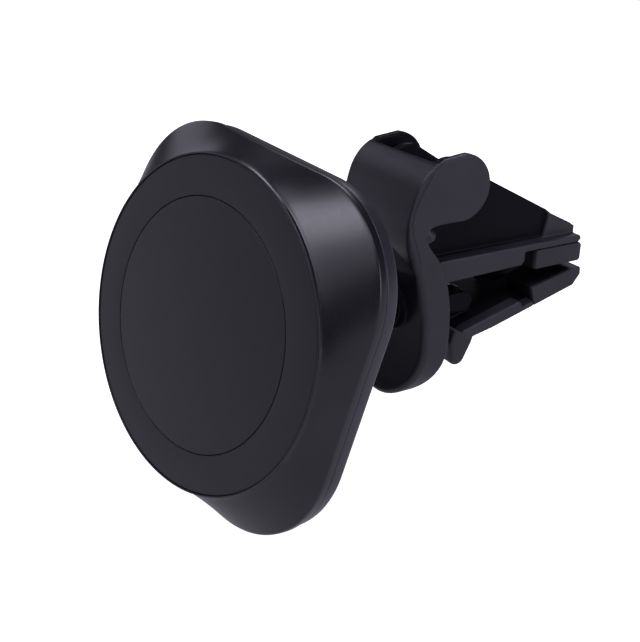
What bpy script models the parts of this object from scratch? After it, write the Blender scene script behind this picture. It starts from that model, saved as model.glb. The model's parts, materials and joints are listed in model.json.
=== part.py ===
"""Air-vent phone mount: a magnetic head on a ball joint, carried by a sprung two-jaw vent clip.

Lengths are in millimetres until a mesh is made, when MM turns them into metres.
World frame: +Y runs back into the air vent, +X to the right as seen from the front, +Z up.
The origin is the centre of the blade stop, the face at the root of the jaws that a vent
blade's edge rests against. The head is modelled in its own frame, with the ball's centre
at its origin, and hangs on three nested empties: pan, tilt and spin.
"""
import math

import bmesh
import bpy
from mathutils import Matrix, Vector

MM = 0.001
GAP = 0.3                      # clearance between touching pieces
NUDGE = 0.05                   # how far joined solids reach into each other
SMOOTH_ANGLE = math.radians(32)

# ---- head: circular face lofted back to a rounded square -------------------------------
FACE_RADIUS = 29.9
FACE_GROOVE_RADIUS = 22.5      # circle that parts the centre disc from the outer ring
FACE_LIP = 0.6                 # width of the shell's rim around the soft face
FACE_SINK = 0.15               # the soft face sits this far behind the rim
PAD_THICKNESS = 1.3
FACE_FLOOR = FACE_SINK + PAD_THICKNESS + GAP
SQUARE_APOTHEM = 32.5          # centre to the middle of a side of the rounded square
SQUARE_CORNER = 19.4           # its corner radius
LOFT_START = 0.7               # depths behind the face
LOFT_END = 6.3
SHELL_BACK = 8.0
COVER_FRONT = SHELL_BACK + GAP
COVER_BAND = 10.5              # end of the cover's straight side
COVER_BACK = 12.9
COVER_APOTHEM = 32.25
SCREW_REACH = 33.3             # from the centre to the cover screws, along the diagonals
SOCKET_SCREW_REACH = 15.7
WALL = 2.0
FACE_WALL = 0.8                # shell wall between the soft face and the magnets
SEGMENTS = 48

MAGNET_INNER = 23.0            # ring array of the usual phone magnets, 46 mm inside
MAGNET_OUTER = 27.2
MAGNET_THICKNESS = 1.8

# ---- ball joint ------------------------------------------------------------------------
FACE_TO_BALL = 24.5
BALL_RADIUS = 8.5
LINER_INNER, LINER_OUTER = 8.8, 9.6
CUP_INNER, CUP_OUTER = 9.9, 10.9
CAVITY_RADIUS = 11.2
LIP_RADIUS = 8.8
SOCKET_RADIUS = 12.5
SOCKET_FLANGE = 18.5
SOCKET_END = 29.0
NUT_FRONT, NUT_BACK = COVER_BACK + 0.6, 30.1
NUT_RADIUS = 15.4
NUT_RIBS = 24
NECK_RADIUS = 3.5
STUD_FLANGE_RADIUS = 5.6
BALL_Y = -29.8
BALL_Z = -3.3
PAN_DEG, TILT_DEG, SPIN_DEG = 17.1, -14.25, 8.9

# ---- vent clip -------------------------------------------------------------------------
CLIP_HALF = 12.2               # half the clip's width
CLIP_FILLET = 1.3              # rounding along the frame's front edges
LOBE_Y, LOBE_Z, LOBE_RADIUS = -0.5, 21.7, 6.5
EAR_OUTER = CLIP_HALF - 0.2
EAR_THICKNESS = 1.7
SIDE = 11.0                    # half the width of the jaws
SEAT_Y = -9.4                  # flat seat of the ball stud on the frame's front
SEAT_RADIUS = STUD_FLANGE_RADIUS + 0.4
SEAT_RECESS_RADIUS = 14.4
SCREW_SHOULDER_Y = -5.0        # step in the stud screw's hole, under the screw's head
FIN_OUTER, FIN_THICKNESS = 7.9, 1.8
JAW_TIP_Y = 32.7
JAW_SPLIT = 1.8                # half the width of the gap between a jaw's two prongs
SPLIT_START_Y = 13.0
GRIP_Z = 1.6                   # gripping face of the upper pads
RAIL_TOP = 7.4
RAIL_BOTTOM = 2.6
FLANGE_THICKNESS = 1.5
NOTCH_START, PAD_START = 17.5, 20.5
PIN_Y, PIN_Z, PIN_RADIUS = 5.0, -3.8, 1.0
LUG_RADIUS = 2.3
LUG_INNER, LUG_OUTER = 5.6, 7.8
KNUCKLE_INNER, KNUCKLE_OUTER = 2.7, 5.3
LOWER_SLOPE_DEG = 15.0         # the closed lower jaw rises towards its tip
LOWER_TIP = 28.4               # from the pin to the lower jaw's tip
LOWER_FLANGE = 1.1
LOWER_SPLIT = 18.5             # from the pin to the start of the gap between its prongs
BUMPER_HALF_X, BUMPER_HALF_Z, BUMPER_DEPTH = 8.0, 1.3, 2.3
SPRING_WIRE, SPRING_MEAN, SPRING_TURNS = 0.35, 1.75, 3


# ---- scene and material helpers --------------------------------------------------------
def clear_scene():
    for obj in list(bpy.data.objects):
        bpy.data.objects.remove(obj, do_unlink=True)


def plain_material(name, color, roughness, metallic=0.0):
    material = bpy.data.materials.new(name)
    material.use_nodes = True
    shader = material.node_tree.nodes["Principled BSDF"]
    shader.inputs["Base Color"].default_value = (*color, 1.0)
    shader.inputs["Roughness"].default_value = roughness
    shader.inputs["Metallic"].default_value = metallic
    return material


def add_empty(name, location=(0, 0, 0), rotation=(0, 0, 0), parent=None):
    empty = bpy.data.objects.new(name, None)
    empty.location = Vector(location) * MM
    empty.rotation_euler = rotation
    empty.parent = parent
    bpy.context.collection.objects.link(empty)
    return empty


def add_object(name, bm, material=None, parent=None, location=(0, 0, 0)):
    """Turn a bmesh in millimetres into an object in metres with outward faces."""
    bmesh.ops.recalc_face_normals(bm, faces=bm.faces)
    bmesh.ops.scale(bm, vec=(MM, MM, MM), verts=bm.verts)
    mesh = bpy.data.meshes.new(name)
    bm.to_mesh(mesh)
    bm.free()
    mesh.shade_smooth()
    mesh.set_sharp_from_angle(angle=SMOOTH_ANGLE)
    obj = bpy.data.objects.new(name, mesh)
    obj.location = Vector(location) * MM
    obj.parent = parent
    if material:
        mesh.materials.append(material)
    bpy.context.collection.objects.link(obj)
    return obj


def add_guide(name, bm, parent=None):
    guide = add_object(name, bm, parent=parent)
    guide.hide_render = True
    guide.display_type = "WIRE"
    return guide


def combine(target, guide, operation):
    modifier = target.modifiers.new(f"{operation.lower()} {guide.name}", "BOOLEAN")
    modifier.operation = operation
    modifier.solver = "EXACT"
    modifier.object = guide


def carve(target, name, bm, parent=None):
    combine(target, add_guide(name, bm, parent), "DIFFERENCE")


def fuse(target, name, bm, parent=None):
    combine(target, add_guide(name, bm, parent), "UNION")


# ---- shape helpers ---------------------------------------------------------------------
def arc(center, radius, start_deg, end_deg, steps):
    """Points on a circle in a plane, from one angle to another."""
    points = []
    for i in range(steps + 1):
        angle = math.radians(start_deg + (end_deg - start_deg) * i / steps)
        points.append((center[0] + radius * math.cos(angle),
                       center[1] + radius * math.sin(angle)))
    return points


def rings_mesh(rings, closed=False):
    """Bridge equal rings of points. A closed stack joins its last ring to its first."""
    bm = bmesh.new()
    loops = [[bm.verts.new(point) for point in ring] for ring in rings]
    pairs = list(zip(loops, loops[1:]))
    if closed:
        pairs.append((loops[-1], loops[0]))
    else:
        bm.faces.new(loops[0])
        bm.faces.new(reversed(loops[-1]))
    count = len(loops[0])
    for first, second in pairs:
        for i in range(count):
            j = (i + 1) % count
            bm.faces.new((first[i], second[i], second[j], first[j]))
    return bm


def turned(profile, closed, steps=SEGMENTS):
    """Turn (radius, y) points about the Y axis. An open profile gets a flat cap at each end."""
    rings = []
    for radius, y in profile:
        rings.append([(radius * math.cos(2 * math.pi * i / steps), y,
                       radius * math.sin(2 * math.pi * i / steps)) for i in range(steps)])
    return rings_mesh(rings, closed)


def across(outline, x_low, x_high):
    """Extrude a (y, z) outline along X."""
    return rings_mesh([[(x, y, z) for y, z in outline] for x in (x_low, x_high)])


def box(low, high):
    outline = [(low[1], low[2]), (high[1], low[2]), (high[1], high[2]), (low[1], high[2])]
    return across(outline, low[0], high[0])


def shifted(bm, x=0.0, y=0.0, z=0.0):
    bmesh.ops.translate(bm, vec=(x, y, z), verts=bm.verts)
    return bm


def rotated_x(bm, degrees, center):
    bmesh.ops.rotate(bm, cent=center, matrix=Matrix.Rotation(math.radians(degrees), 3, "X"),
                     verts=bm.verts)
    return bm


def merged(*parts):
    """Put separate closed shapes that don't touch into one mesh, for use as one cutter."""
    whole = bmesh.new()
    for part in parts:
        piece = bpy.data.meshes.new("piece")
        part.to_mesh(piece)
        part.free()
        whole.from_mesh(piece)
        bpy.data.meshes.remove(piece)
    return whole


def smooth_path(points, steps):
    """Catmull-Rom curve through points of any dimension."""
    path = []
    last = len(points) - 1
    for i in range(last):
        before, start = points[max(i - 1, 0)], points[i]
        end, after = points[i + 1], points[min(i + 2, last)]
        for k in range(steps):
            t = k / steps
            path.append(tuple(
                0.5 * (2 * b + (c - a) * t + (2 * a - 5 * b + 4 * c - d) * t * t
                       + (3 * b - a - 3 * c + d) * t ** 3)
                for a, b, c, d in zip(before, start, end, after)))
    path.append(tuple(points[-1]))
    return path


# ---- head shapes -----------------------------------------------------------------------
def square_radius(angle, apothem, corner):
    """Polar radius of a rounded square at an angle."""
    fold = abs((angle + math.pi / 4) % (math.pi / 2) - math.pi / 4)
    inset = apothem - corner
    if apothem * math.tan(fold) <= inset:
        return apothem / math.cos(fold)
    along = inset * (math.cos(fold) + math.sin(fold))
    beside = inset * (math.cos(fold) - math.sin(fold))
    return along + math.sqrt(corner ** 2 - beside ** 2)


def head_ring(depth, radius, apothem, blend, corner=SQUARE_CORNER):
    """A ring between a circle (blend 0) and a rounded square (blend 1), at a depth."""
    ring = []
    for i in range(SEGMENTS):
        angle = 2 * math.pi * i / SEGMENTS
        size = (1 - blend) * radius + blend * square_radius(angle, apothem, corner)
        ring.append((size * math.cos(angle), depth - FACE_TO_BALL, size * math.sin(angle)))
    return ring


def loft_ring(depth, inset=0.0):
    blend = min(max((depth - LOFT_START) / (LOFT_END - LOFT_START), 0.0), 1.0)
    return head_ring(depth, FACE_RADIUS - inset, SQUARE_APOTHEM - inset, blend,
                     SQUARE_CORNER - inset)


def cover_ring(depth, inset):
    return head_ring(depth, 0, COVER_APOTHEM - inset, 1, SQUARE_CORNER - 0.6 * inset)


def at_depth(profile):
    return [(radius, depth - FACE_TO_BALL) for radius, depth in profile]


def make_front_shell(material, parent):
    pocket = FACE_RADIUS - FACE_LIP
    rings = [head_ring(FACE_FLOOR, 1.0, 0, 0), head_ring(FACE_FLOOR, pocket, 0, 0)]
    rings += [head_ring(0.15, pocket, 0, 0), head_ring(0.0, pocket + 0.2, 0, 0)]
    rings += [head_ring(0.0, FACE_RADIUS - 0.35, 0, 0), head_ring(0.35, FACE_RADIUS, 0, 0)]
    rings += [loft_ring(LOFT_START + (LOFT_END - LOFT_START) * i / 3) for i in range(4)]
    rings += [loft_ring(SHELL_BACK), loft_ring(SHELL_BACK, WALL), loft_ring(LOFT_END, WALL)]
    behind = FACE_FLOOR + FACE_WALL
    rings += [loft_ring(behind + 0.6, WALL), head_ring(behind, FACE_RADIUS - WALL, 0, 0)]
    rings += [head_ring(behind, 1.0, 0, 0)]
    shell = add_object("front_shell", rings_mesh(rings), material, parent)
    boss = [(2.9, 5.3), (2.9, SHELL_BACK - NUDGE)]
    for i, (x, z) in enumerate(cover_screw_places()):
        whole = shifted(turned(at_depth(boss), False, 14), x, 0, z)
        fuse(shell, f"screw boss {i + 1}", whole, parent)
    hole = [(1.4, 5.9), (1.4, SHELL_BACK + 1)]
    holes = [shifted(turned(at_depth(hole), False, 10), x, 0, z) for x, z in cover_screw_places()]
    carve(shell, "screw boss holes", merged(*holes), parent)
    return shell


def cover_screw_places():
    reach = SCREW_REACH / math.sqrt(2)
    return [(sx * reach, sz * reach) for sx, sz in ((1, 1), (-1, 1), (-1, -1), (1, -1))]


def socket_screw_places():
    turns = [math.radians(degrees) for degrees in (90, 210, 330)]
    return [(SOCKET_SCREW_REACH * math.cos(a), SOCKET_SCREW_REACH * math.sin(a)) for a in turns]


def make_face(disc_material, ring_material, parent):
    front, back = FACE_SINK, FACE_SINK + PAD_THICKNESS
    edge = 0.2
    disc = [(FACE_GROOVE_RADIUS - 0.15, back), (FACE_GROOVE_RADIUS - 0.15, front + edge),
            (FACE_GROOVE_RADIUS - 0.15 - edge, front)]
    add_object("face_disc", turned(at_depth(disc), False), disc_material, parent)
    inner, outer = FACE_GROOVE_RADIUS + 0.15, FACE_RADIUS - FACE_LIP - GAP
    ring = [(inner, back), (inner, front + edge), (inner + edge, front),
            (outer - edge, front), (outer, front + edge), (outer, back)]
    add_object("face_ring", turned(at_depth(ring), True), ring_material, parent)


def make_magnets(magnet, plastic, steel, parent):
    front = FACE_FLOOR + FACE_WALL + GAP
    back = front + MAGNET_THICKNESS
    ring = [(MAGNET_INNER, front), (MAGNET_OUTER, front), (MAGNET_OUTER, back),
            (MAGNET_INNER, back)]
    add_object("magnet_ring", turned(at_depth(ring), True), magnet, parent)
    tray_front, tray_back = back + GAP, back + GAP + 0.8
    tray = [(19.5, front), (MAGNET_INNER - GAP, front), (MAGNET_INNER - GAP, tray_front),
            (MAGNET_OUTER, tray_front), (MAGNET_OUTER, tray_back), (19.5, tray_back)]
    add_object("magnet_tray", turned(at_depth(tray), True), plastic, parent)
    plate = [(MAGNET_OUTER, tray_back + GAP), (MAGNET_OUTER, tray_back + GAP + 0.6)]
    add_object("yoke_plate", turned(at_depth(plate), False), steel, parent)


def make_rear_cover(material, parent):
    hole = SOCKET_RADIUS + 0.4
    rings = [cover_ring(COVER_FRONT, 0), cover_ring(COVER_BAND, 0), cover_ring(COVER_BACK - 1.1, 1.4)]
    rings += [cover_ring(COVER_BACK - 0.2, 4.0), cover_ring(COVER_BACK, 7.0)]
    rings += [head_ring(COVER_BACK, hole, 0, 0)]
    rings += [head_ring(COVER_BACK - WALL, hole, 0, 0), cover_ring(COVER_BACK - WALL, 6.0)]
    rings += [cover_ring(COVER_FRONT, 2.6)]
    cover = add_object("rear_cover", rings_mesh(rings, closed=True), material, parent)
    step = COVER_BACK - 2.4
    through = [(1.5, COVER_FRONT - 1), (1.5, step), (2.7, step), (2.7, COVER_BACK + 1)]
    blind = [(1.2, COVER_BACK - 2.5), (1.2, COVER_BACK - 0.6)]
    cuts = [shifted(turned(at_depth(through), False, 12), x, 0, z) for x, z in cover_screw_places()]
    cuts += [shifted(turned(at_depth(blind), False, 10), x, 0, z) for x, z in socket_screw_places()]
    carve(cover, "cover screw holes", merged(*cuts), parent)
    return cover


def make_screw(name, material, parent, place, head, shank, slot_back):
    """A turned screw along Y, its head cross-slotted. head and shank are (radius, from, to)."""
    shape = at_depth([(shank[0], shank[1]), (shank[0], head[1]), (head[0], head[1]),
                      (head[0], head[2])])
    screw = add_object(name, shifted(turned(shape, False, 12), place[0], 0, place[1]),
                       material, parent)
    face = head[2] - FACE_TO_BALL
    low, high = sorted((face - slot_back * 0.5, face + slot_back))
    bars = [box((-head[0] * 0.6, low, -0.25), (head[0] * 0.6, high, 0.25)),
            box((-0.25, low, -head[0] * 0.6), (0.25, high, head[0] * 0.6))]
    for label, bar in zip(("level", "upright"), bars):
        carve(screw, f"{name} slot {label}", shifted(bar, place[0], 0, place[1]), parent)


def make_head_screws(material, parent):
    for i, place in enumerate(cover_screw_places()):
        make_screw(f"cover_screw_{i + 1}", material, parent, place,
                   head=(2.3, COVER_BACK - 2.0, COVER_BACK - 1.0), shank=(1.1, 6.2), slot_back=1.0)
    for i, place in enumerate(socket_screw_places()):
        make_screw(f"socket_screw_{i + 1}", material, parent, place,
                   head=(1.9, COVER_BACK - 4.0, COVER_BACK - 5.0),
                   shank=(0.9, COVER_BACK - 0.9), slot_back=-1.0)


# ---- ball joint shapes -----------------------------------------------------------------
def sphere_arc(radius, start_deg, end_deg, steps):
    """(radius, y) points on a sphere, by angle from the head's front axis."""
    points = []
    for i in range(steps + 1):
        angle = math.radians(start_deg + (end_deg - start_deg) * i / steps)
        points.append((radius * math.sin(angle), -radius * math.cos(angle)))
    return points


def make_cap(name, material, parent, inner, outer, reach_deg):
    """A spherical cap shell around the ball, with a small hole on its axis."""
    hole_deg = 8
    profile = sphere_arc(outer, hole_deg, reach_deg, 5) + sphere_arc(inner, reach_deg, hole_deg, 5)
    add_object(name, turned(profile, True, 28), material, parent)


def make_socket(material, parent):
    back = COVER_BACK - WALL - GAP
    front = back - 1.5
    y_front, y_back = front - FACE_TO_BALL, back - FACE_TO_BALL
    profile = [(1.0, y_front), (SOCKET_FLANGE, y_front), (SOCKET_FLANGE, y_back),
               (SOCKET_RADIUS, y_back), (SOCKET_RADIUS, SOCKET_END - FACE_TO_BALL)]
    mouth_deg = 180 - math.degrees(math.acos((SOCKET_END - FACE_TO_BALL) / LIP_RADIUS))
    profile += sphere_arc(LIP_RADIUS, mouth_deg, 99, 2)
    profile += sphere_arc(CAVITY_RADIUS, 95, 5, 6)
    socket = add_object("ball_socket", turned(profile, True, 32), material, parent)
    for label, turn in (("level", 0), ("upright", 90)):
        slit = box((-20, 16.5 - FACE_TO_BALL, -0.6), (20, 40, 0.6))
        bmesh.ops.rotate(slit, cent=(0, 0, 0), verts=slit.verts,
                         matrix=Matrix.Rotation(math.radians(turn + 45), 3, "Y"))
        carve(socket, f"socket slit {label}", slit, parent)
    holes = [shifted(turned(at_depth([(1.2, front - 1), (1.2, back + 1)]), False, 10), x, 0, z)
             for x, z in socket_screw_places()]
    carve(socket, "socket screw holes", merged(*holes), parent)


def nut_ring(depth, radius, relief=0.0):
    """A ring of the clamp nut. relief sets every second point in, which makes the ribs."""
    steps = NUT_RIBS * 2
    ring = []
    for i in range(steps):
        angle = 2 * math.pi * i / steps
        size = radius - relief * (i % 2)
        ring.append((size * math.cos(angle), depth - FACE_TO_BALL, size * math.sin(angle)))
    return ring


def make_nut(material, parent):
    """A ribbed collar screwed over the socket's fingers. Its rear lip closes them on the ball."""
    bore = SOCKET_RADIUS + GAP
    rings = [nut_ring(NUT_FRONT, bore), nut_ring(NUT_FRONT, NUT_RADIUS - 0.8)]
    rings += [nut_ring(NUT_FRONT + 0.8, NUT_RADIUS, 0.5), nut_ring(NUT_BACK - 2.0, NUT_RADIUS, 0.5)]
    rings += [nut_ring(NUT_BACK, NUT_RADIUS - 1.8), nut_ring(NUT_BACK, 10.2)]
    rings += [nut_ring(SOCKET_END + GAP, 9.4), nut_ring(SOCKET_END + GAP, bore)]
    add_object("clamp_nut", rings_mesh(rings, closed=True), material, parent)


def make_ball_stud(material, parent):
    """Ball, neck and round foot, turned about the Y axis through the ball's centre."""
    neck_deg = math.degrees(math.asin(NECK_RADIUS / BALL_RADIUS))
    foot = SEAT_Y - GAP - BALL_Y
    profile = sphere_arc(BALL_RADIUS, 4, 180 - neck_deg, 10)
    profile += [(NECK_RADIUS, foot - 4.5), (NECK_RADIUS + 0.5, foot - 2.8),
                (NECK_RADIUS + 1.2, foot - 1.8), (STUD_FLANGE_RADIUS - 0.4, foot - 1.5),
                (STUD_FLANGE_RADIUS, foot - 1.1), (STUD_FLANGE_RADIUS, foot)]
    profile += [(1.8, foot), (1.8, foot - 9.5)]
    add_object("ball_stud", turned(profile, False, 28), material, parent)


# ---- clip shapes -----------------------------------------------------------------------
# stations down the frame: front y, z, rear y, z and half-width, from the top edge to the lip
FRAME_STATIONS = [
    (-6.2, 26.9, -5.3, 25.1, CLIP_HALF),
    (-8.3, 25.4, -6.7, 23.7, CLIP_HALF),
    (-10.2, 22.9, -7.9, 21.7, CLIP_HALF),
    (-11.5, 19.2, -8.7, 18.7, CLIP_HALF),
    (-12.1, 15.5, -8.9, 15.3, CLIP_HALF),
    (-11.7, 11.6, -7.0, 11.6, CLIP_HALF),
    (-10.6, 8.4, -4.3, 8.2, CLIP_HALF),
    (-9.3, 4.6, -2.6, 4.6, CLIP_HALF),
    (-8.2, -0.6, -1.8, -0.6, CLIP_HALF),
    (-7.5, -5.2, -1.4, -5.2, CLIP_HALF),
    (-7.6, -10.7, -1.5, -10.7, CLIP_HALF),
    (-8.3, -15.0, -2.6, -15.2, 11.3),
    (-9.5, -18.7, -4.6, -19.2, 9.2),
    (-10.6, -21.2, -7.6, -22.0, 6.4),
    (-11.2, -22.4, -9.4, -23.0, 3.4),
]


def frame_ring(station):
    """One cross-section of the frame: square at the rear, rounded along both front edges."""
    front_y, front_z, rear_y, rear_z, half = station
    depth = math.hypot(rear_y - front_y, rear_z - front_z)
    fillet = min(CLIP_FILLET, 0.75 * depth, 0.6 * half)
    steps = 3
    section = [(half, depth)]
    section += [(half - fillet + fillet * math.cos(a), fillet - fillet * math.sin(a))
                for a in (math.pi / 2 * i / steps for i in range(steps + 1))]
    section += [(-x, d) for x, d in reversed(section)]
    return [(x, front_y + (rear_y - front_y) * d / depth, front_z + (rear_z - front_z) * d / depth)
            for x, d in section]


def ear_outline():
    """Comma-shaped end wall: a round lobe at the rear, open towards the frame's front skin."""
    lobe = arc((LOBE_Y, LOBE_Z), LOBE_RADIUS, 88, -80, 14)
    neck = [(-4.2, 15.3), (-5.6, 14.3), (-6.4, 12.9), (-7.0, 10.6), (-9.4, 10.6)]
    front = [(-10.6, 13.0), (-11.1, 16.0), (-10.7, 19.2), (-9.6, 22.6), (-8.0, 24.8)]
    return [(-6.6, 26.3), (-5.2, 27.6)] + lobe + neck + front


def fin_outline():
    """Tall web on top of a prong, from a round root inside the ears down to the tip."""
    root = arc((LOBE_Y, LOBE_Z), 5.4, 150, 74, 5)
    return ([(-9.0, 10.0), (-7.0, 15.0)] + root
            + [(9.5, 21.1), (24.7, 13.1), (26.2, 12.0), (JAW_TIP_Y - 0.4, 9.0)]
            + [(JAW_TIP_Y, 8.6), (JAW_TIP_Y, RAIL_TOP - 0.5), (-2.5, RAIL_TOP - 0.5)])


def rail_outline():
    """Side view of an upper prong: a thick rail, a notch, and a thin flange over the pad."""
    flange_bottom = RAIL_TOP - FLANGE_THICKNESS
    return [(-4.5, RAIL_TOP), (-3.5, RAIL_BOTTOM), (NOTCH_START - 0.8, RAIL_BOTTOM + 0.6),
            (NOTCH_START, RAIL_BOTTOM + 1.4), (NOTCH_START, flange_bottom),
            (JAW_TIP_Y - 0.6, flange_bottom), (JAW_TIP_Y, flange_bottom + 0.5),
            (JAW_TIP_Y, RAIL_TOP - 0.5), (JAW_TIP_Y - 0.5, RAIL_TOP)]


def lug_outline():
    """Ear that holds one end of the hinge pin, growing out of the frame's rear."""
    round_end = arc((PIN_Y, PIN_Z), LUG_RADIUS, 90, -100, 10)
    return round_end + [(-1.6, -4.9), (-1.6, PIN_Z + LUG_RADIUS)]


def stud_axis(profile, steps=24):
    """A turned shape on the stud's axis, from (radius, world y) points."""
    return shifted(turned(profile, False, steps), 0, 0, BALL_Z)


def make_clip_body(material):
    path = smooth_path(FRAME_STATIONS, 2)
    body = add_object("clip_body", rings_mesh([frame_ring(s) for s in path]), material)
    recess = [(SEAT_RECESS_RADIUS, -25), (SEAT_RECESS_RADIUS, SEAT_Y)]
    carve(body, "stud seat recess", stud_axis(recess, 40))
    fuse(body, "stud seat", stud_axis([(SEAT_RADIUS, SEAT_Y), (SEAT_RADIUS, -6.5)]))
    fuse(body, "right ear", across(ear_outline(), EAR_OUTER - EAR_THICKNESS, EAR_OUTER))
    fuse(body, "left ear", across(ear_outline(), -EAR_OUTER, EAR_THICKNESS - EAR_OUTER))
    fuse(body, "upper jaw", across(rail_outline(), -SIDE, SIDE))
    for label, low in (("right", FIN_OUTER - FIN_THICKNESS), ("left", -FIN_OUTER)):
        fuse(body, f"{label} fin", across(fin_outline(), low, low + FIN_THICKNESS))
    fuse(body, "right lug", across(lug_outline(), LUG_INNER, LUG_OUTER))
    fuse(body, "left lug", across(lug_outline(), -LUG_OUTER, -LUG_INNER))
    carve(body, "gap between the upper prongs",
          box((-JAW_SPLIT, SPLIT_START_Y, 0), (JAW_SPLIT, JAW_TIP_Y + 2, 12)))
    carve(body, "lower pocket", box((-8.2, -6.4, -17.4), (8.2, 2.0, -9.4)))
    hole = [(1.8, -14), (1.8, SCREW_SHOULDER_Y), (3.3, SCREW_SHOULDER_Y), (3.3, 1.0)]
    carve(body, "screw hole", stud_axis(hole, 24))
    reach_x, reach_z = BUMPER_HALF_X + GAP, BUMPER_HALF_Z + GAP
    carve(body, "bumper recess", box((-reach_x, -BUMPER_DEPTH - GAP, -reach_z), (reach_x, 1.0, reach_z)))
    bore = arc((PIN_Y, PIN_Z), PIN_RADIUS + GAP, 0, 337.5, 15)
    carve(body, "pin bores", across(bore, -12, 12))
    return body


def make_slot_bumper(material):
    bumper = box((-BUMPER_HALF_X, -BUMPER_DEPTH, -BUMPER_HALF_Z), (BUMPER_HALF_X, 0, BUMPER_HALF_Z))
    add_object("slot_bumper", bumper, material)


def make_stud_screw(material, parent):
    """Screw from the frame's rear into the ball stud, with a hexagon recess."""
    start, under_head, back = -17.5 - BALL_Y, SCREW_SHOULDER_Y + GAP - BALL_Y, -3.0 - BALL_Y
    profile = [(1.5, start), (1.5, under_head), (2.9, under_head), (2.9, back)]
    screw = add_object("stud_screw", turned(profile, False, 24), material, parent)
    carve(screw, "hexagon recess", turned([(1.5, back - 1.1), (1.5, back + 1)], False, 6), parent)


def lower_outline():
    """Side view of the lower jaw, drawn level: it is turned up by the jaw's slope."""
    top, bottom = PIN_Z - 4.1, PIN_Z - 6.9
    flange_top = bottom + LOWER_FLANGE
    notch = PIN_Y + 12.0
    tip = PIN_Y + LOWER_TIP
    return [(PIN_Y - 3.6, top - 0.3), (PIN_Y - 2.6, top), (notch - 0.6, top), (notch, top - 0.6),
            (notch, flange_top), (tip - 0.6, flange_top), (tip, flange_top - 0.4),
            (tip - 1.4, bottom), (PIN_Y + 4.0, bottom), (PIN_Y - 2.4, bottom + 0.4)]


def tab_outline():
    """Finger tab that hangs below the lower jaw's root."""
    return [(5.6, -8.6), (10.8, -8.2), (10.5, -11.8), (9.4, -14.9), (7.8, -17.7), (6.3, -19.0),
            (5.0, -19.3), (4.2, -18.8), (4.3, -14.0)]


def make_lower_jaw(material):
    center = (0, PIN_Y, PIN_Z)
    plate = rotated_x(across(lower_outline(), -SIDE, SIDE), LOWER_SLOPE_DEG, center)
    jaw = add_object("lower_jaw", plate, material)
    jaw_gap = rotated_x(box((-JAW_SPLIT, PIN_Y + LOWER_SPLIT, PIN_Z - 12), (JAW_SPLIT, 60, PIN_Z)),
                        LOWER_SLOPE_DEG, center)
    carve(jaw, "gap between the lower prongs", jaw_gap)
    carve(jaw, "spring window", box((-2.5, -0.4, -13.0), (2.5, 5.3, -5.0)))
    fuse(jaw, "finger tab", across(tab_outline(), -5.5, 5.5))
    knuckle = arc((PIN_Y, PIN_Z), LUG_RADIUS, -20, 200, 12)
    knuckle += [(PIN_Y - 1.6, -8.6), (PIN_Y + 3.6, -7.4)]
    fuse(jaw, "right knuckle", across(knuckle, KNUCKLE_INNER, KNUCKLE_OUTER))
    fuse(jaw, "left knuckle", across(knuckle, -KNUCKLE_OUTER, -KNUCKLE_INNER))
    bore = arc((PIN_Y, PIN_Z), PIN_RADIUS + GAP, 0, 337.5, 15)
    carve(jaw, "knuckle bores", across(bore, -12, 12))
    return jaw


def make_pads(material):
    """Rubber tip pads: upper ones lie level, lower ones follow the lower jaw's slope."""
    inner, outer = JAW_SPLIT + 0.2, SIDE
    tip = JAW_TIP_Y + 0.4
    upper_top = RAIL_TOP - FLANGE_THICKNESS - GAP
    upper = [(PAD_START, GRIP_Z), (tip - 0.5, GRIP_Z), (tip, GRIP_Z + 0.5), (tip, upper_top - 0.6),
             (tip - 0.6, upper_top), (PAD_START, upper_top)]
    base = PIN_Z - 6.9 + LOWER_FLANGE + GAP
    grip = PIN_Z - 2.6
    start, end = PIN_Y + 15.0, PIN_Y + LOWER_TIP + 0.3
    lower = [(start, base), (end - 0.3, base), (end, base + 0.5), (end, grip - 1.1),
             (end - 0.5, grip - 0.6), (start, grip)]
    for label, low, high in (("right", inner, outer), ("left", -outer, -inner)):
        add_object(f"upper_pad_{label}", across(upper, low, high), material)
        pad = rotated_x(across(lower, low, high), LOWER_SLOPE_DEG, (0, PIN_Y, PIN_Z))
        add_object(f"lower_pad_{label}", pad, material)


def make_jaw_pin(material):
    pin = arc((PIN_Y, PIN_Z), PIN_RADIUS, 0, 337.5, 15)
    add_object("jaw_pin", across(pin, 0.1 - LUG_OUTER, LUG_OUTER - 0.1), material)


def spring_path():
    """Centre line of the torsion spring: a leg on the frame, the coil, a leg on the tab."""
    reach = 2 * SPRING_WIRE + 0.12
    half = SPRING_TURNS * reach / 2
    path = [(-half, PIN_Y - SPRING_MEAN - 2.3, PIN_Z - 5.6)]
    steps = 10
    for i in range(SPRING_TURNS * steps + 1):
        angle = math.radians(180 + 360 * i / steps)
        path.append((-half + reach * i / steps, PIN_Y + SPRING_MEAN * math.cos(angle),
                     PIN_Z + SPRING_MEAN * math.sin(angle)))
    path.append((half, PIN_Y - SPRING_MEAN + 0.9, PIN_Z - 5.6))
    return [Vector(point) for point in path]


def make_jaw_spring(material):
    path = spring_path()
    sides = 5
    rings = []
    for i, point in enumerate(path):
        ahead = (path[min(i + 1, len(path) - 1)] - path[max(i - 1, 0)]).normalized()
        beside = Vector((1, 0, 0)) - ahead * ahead.x
        beside.normalize()
        above = ahead.cross(beside)
        rings.append([point + SPRING_WIRE * (math.cos(a) * beside + math.sin(a) * above)
                      for a in (2 * math.pi * k / sides for k in range(sides))])
    add_object("jaw_spring", rings_mesh(rings), material)


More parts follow.
